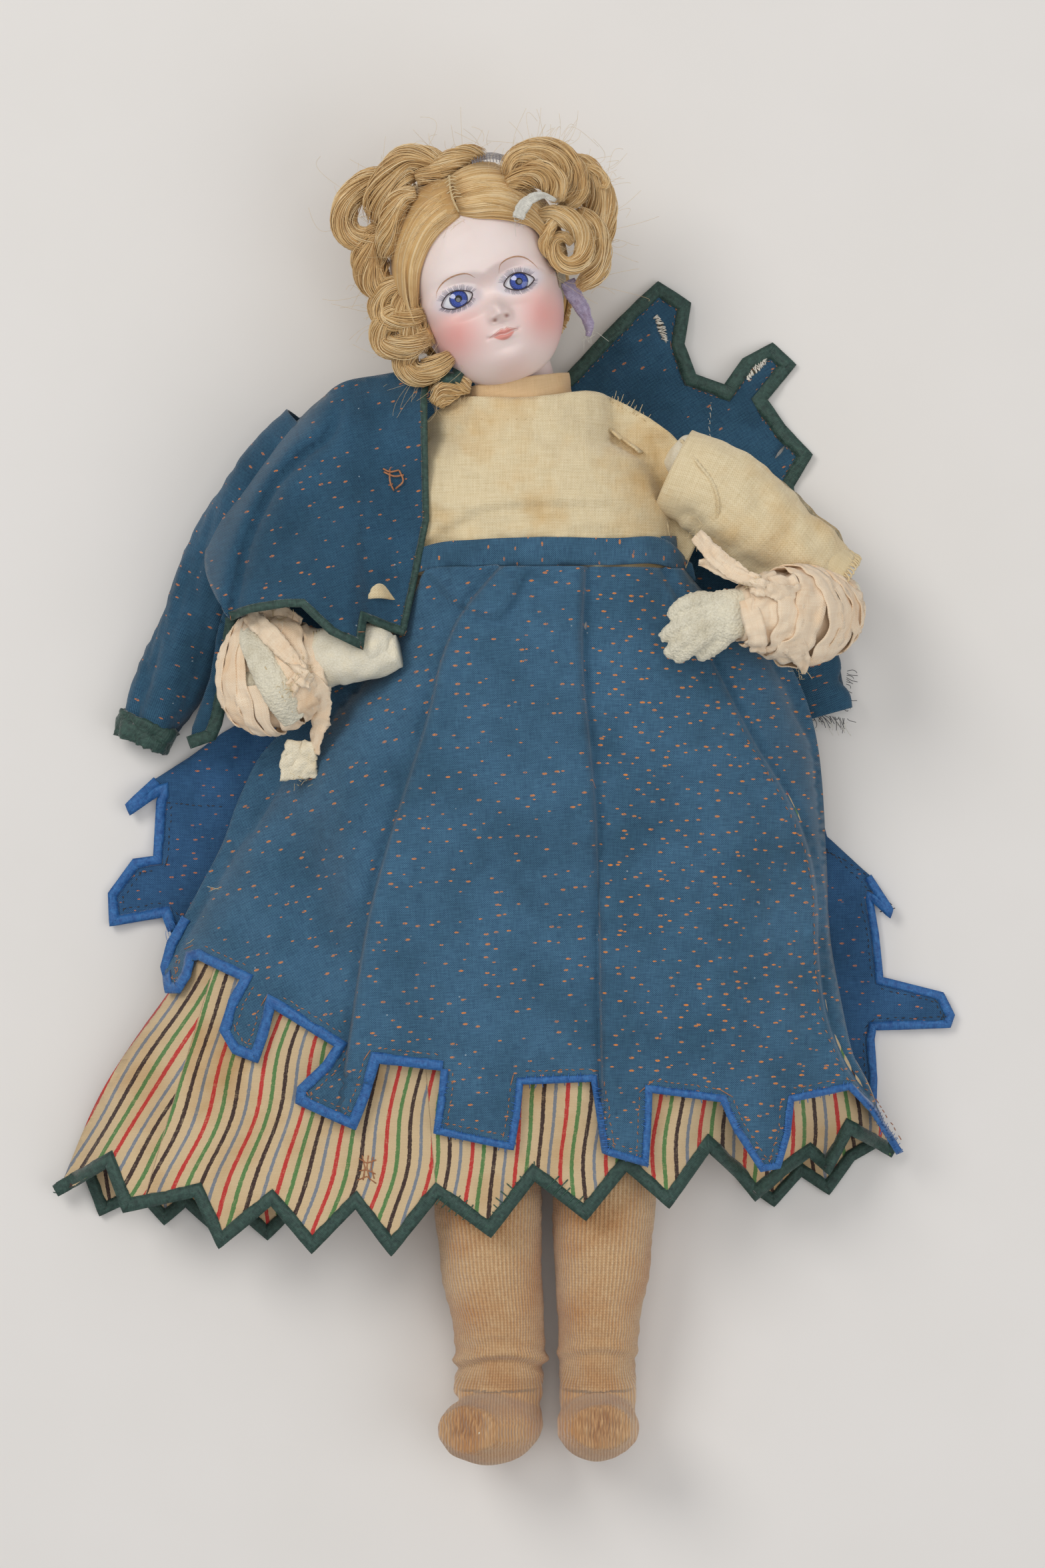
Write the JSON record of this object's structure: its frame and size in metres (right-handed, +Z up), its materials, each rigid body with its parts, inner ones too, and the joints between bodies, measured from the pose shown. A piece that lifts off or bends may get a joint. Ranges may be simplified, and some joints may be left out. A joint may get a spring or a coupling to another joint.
{
  "type": "porcelain-headed doll",
  "caption": "Dressed antique-style doll lying on its back, with a bisque swivel head, glass eyes, mohair wig, kid leather body, tabbed blue wool skirt and jacket and striped underskirt.",
  "frame": {"origin": "under the middle of the doll's bounding box, on the surface it lies on", "axes": "+Y towards the crown of the head, +X the doll's left side, +Z up from the surface it lies on"},
  "size_m": [0.292, 0.4375, 0.0751],
  "materials": {
    "kid_leather": "matt off-white kid with stitched seams",
    "bisque": "unglazed fired porcelain, tinted and painted",
    "eye_glass": "blown glass with a blue iris",
    "eye_setting": "cast plaster",
    "cork": "cut cork",
    "wig_gauze": "open net",
    "mohair": "dressed blonde mohair",
    "ribbon_scraps": "thin silk, creased",
    "muslin": "plain weave, crumpled",
    "blue_wool": "soft blue wool, pleated",
    "blue_silk": "bright silk binding, frayed",
    "green_silk": "dark silk binding, frayed",
    "ticking": "striped cotton",
    "knit": "ribbed tan knit",
    "rag": "wound cotton strip",
    "dowel_wood": "turned",
    "spring_steel": "drawn wire"
  },
  "bodies": {
    "torso": {"torso_body": "kid_leather", "shoulder_plate": "bisque", "blouse_bodice": "muslin", "blouse_collar": "muslin", "skirt_waistband": "blue_wool", "jacket_back": "blue_wool", "jacket_left_front": "blue_wool", "jacket_left_sleeve": "blue_wool", "jacket_right_sleeve": "blue_wool"},
    "head": {"neck_peg": "dowel_wood", "neck_nut": "dowel_wood", "neck_spring": "spring_steel", "head_shell": "bisque", "cork_pate": "cork", "left_eye": "eye_glass", "right_eye": "eye_glass", "eye_plaster": "eye_setting", "wig_cap": "wig_gauze", "wig_band_left": "mohair", "wig_band_right": "mohair", "wig_back": "mohair", "wig_curls_left": "mohair", "wig_curls_right": "mohair", "hair_ribbon_pale": "ribbon_scraps", "hair_ribbon_mauve": "ribbon_scraps"},
    "left_arm": {"left_upper_arm": "kid_leather", "left_sleeve": "muslin", "left_lace_cuff": "muslin"},
    "left_forearm": {"left_forearm": "kid_leather", "left_hand": "kid_leather", "left_bandage": "rag", "left_bandage_tie": "rag"},
    "right_arm": {"right_upper_arm": "kid_leather", "right_sleeve": "muslin", "jacket_right_front": "blue_wool"},
    "right_forearm": {"right_forearm": "kid_leather", "right_hand": "kid_leather", "right_bandage": "rag", "right_bandage_tie": "rag"},
    "hips": {"seat_gusset": "kid_leather", "left_thigh": "kid_leather", "right_thigh": "kid_leather", "skirt_front": "blue_wool", "skirt_back": "blue_wool", "underskirt_front": "ticking", "underskirt_back": "ticking", "underskirt_binding": "green_silk", "skirt_binding_left": "blue_silk", "skirt_binding_right": "blue_silk"},
    "left_shin": {"left_lower_leg": "kid_leather", "left_stocking": "knit"},
    "right_shin": {"right_lower_leg": "kid_leather", "right_stocking": "knit"}
  },
  "joints": [
    {"name": "neck_swivel", "type": "hinge", "parent": "torso", "child": "head", "pos_m": [0.003, 0.136, 0.032], "axis": [-0.2924, 0.9563, 0], "range_deg": [-40, 40]},
    {"name": "left_shoulder", "type": "hinge", "parent": "torso", "child": "left_arm", "pos_m": [0.06, 0.112, 0.033], "axis": [-0.6596, -0.7516, 0], "range_deg": [0, 70]},
    {"name": "left_elbow", "type": "hinge", "parent": "left_arm", "child": "left_forearm", "pos_m": [0.109, 0.069, 0.027], "axis": [0, 0, 1], "range_deg": [-10, 100], "deforming": ["left_sleeve", "left_lace_cuff"]},
    {"name": "right_shoulder", "type": "hinge", "parent": "torso", "child": "right_arm", "pos_m": [-0.053, 0.112, 0.033], "axis": [-0.9864, -0.1644, 0], "range_deg": [0, 70], "deforming": ["jacket_right_front"]},
    {"name": "right_elbow", "type": "hinge", "parent": "right_arm", "child": "right_forearm", "pos_m": [-0.043, 0.052, 0.05], "axis": [0, 0, 1], "range_deg": [-10, 10], "deforming": ["right_sleeve", "jacket_right_front"]},
    {"name": "hip_fold", "type": "hinge", "parent": "torso", "child": "hips", "pos_m": [0.014, -0.008, 0.028], "axis": [-1, 0, 0], "range_deg": [0, 75], "deforming": ["skirt_front", "underskirt_front", "underskirt_binding", "skirt_back", "underskirt_back"]},
    {"name": "left_knee", "type": "hinge", "parent": "hips", "child": "left_shin", "pos_m": [0.033, -0.098, 0.023], "axis": [-1, 0, 0], "range_deg": [-72, 0], "deforming": ["skirt_front", "underskirt_front", "underskirt_binding"]},
    {"name": "right_knee", "type": "hinge", "parent": "hips", "child": "right_shin", "pos_m": [-0.005, -0.098, 0.023], "axis": [-1, 0, 0], "range_deg": [-72, 0], "deforming": ["skirt_front", "underskirt_front", "underskirt_binding"]}
  ]
}
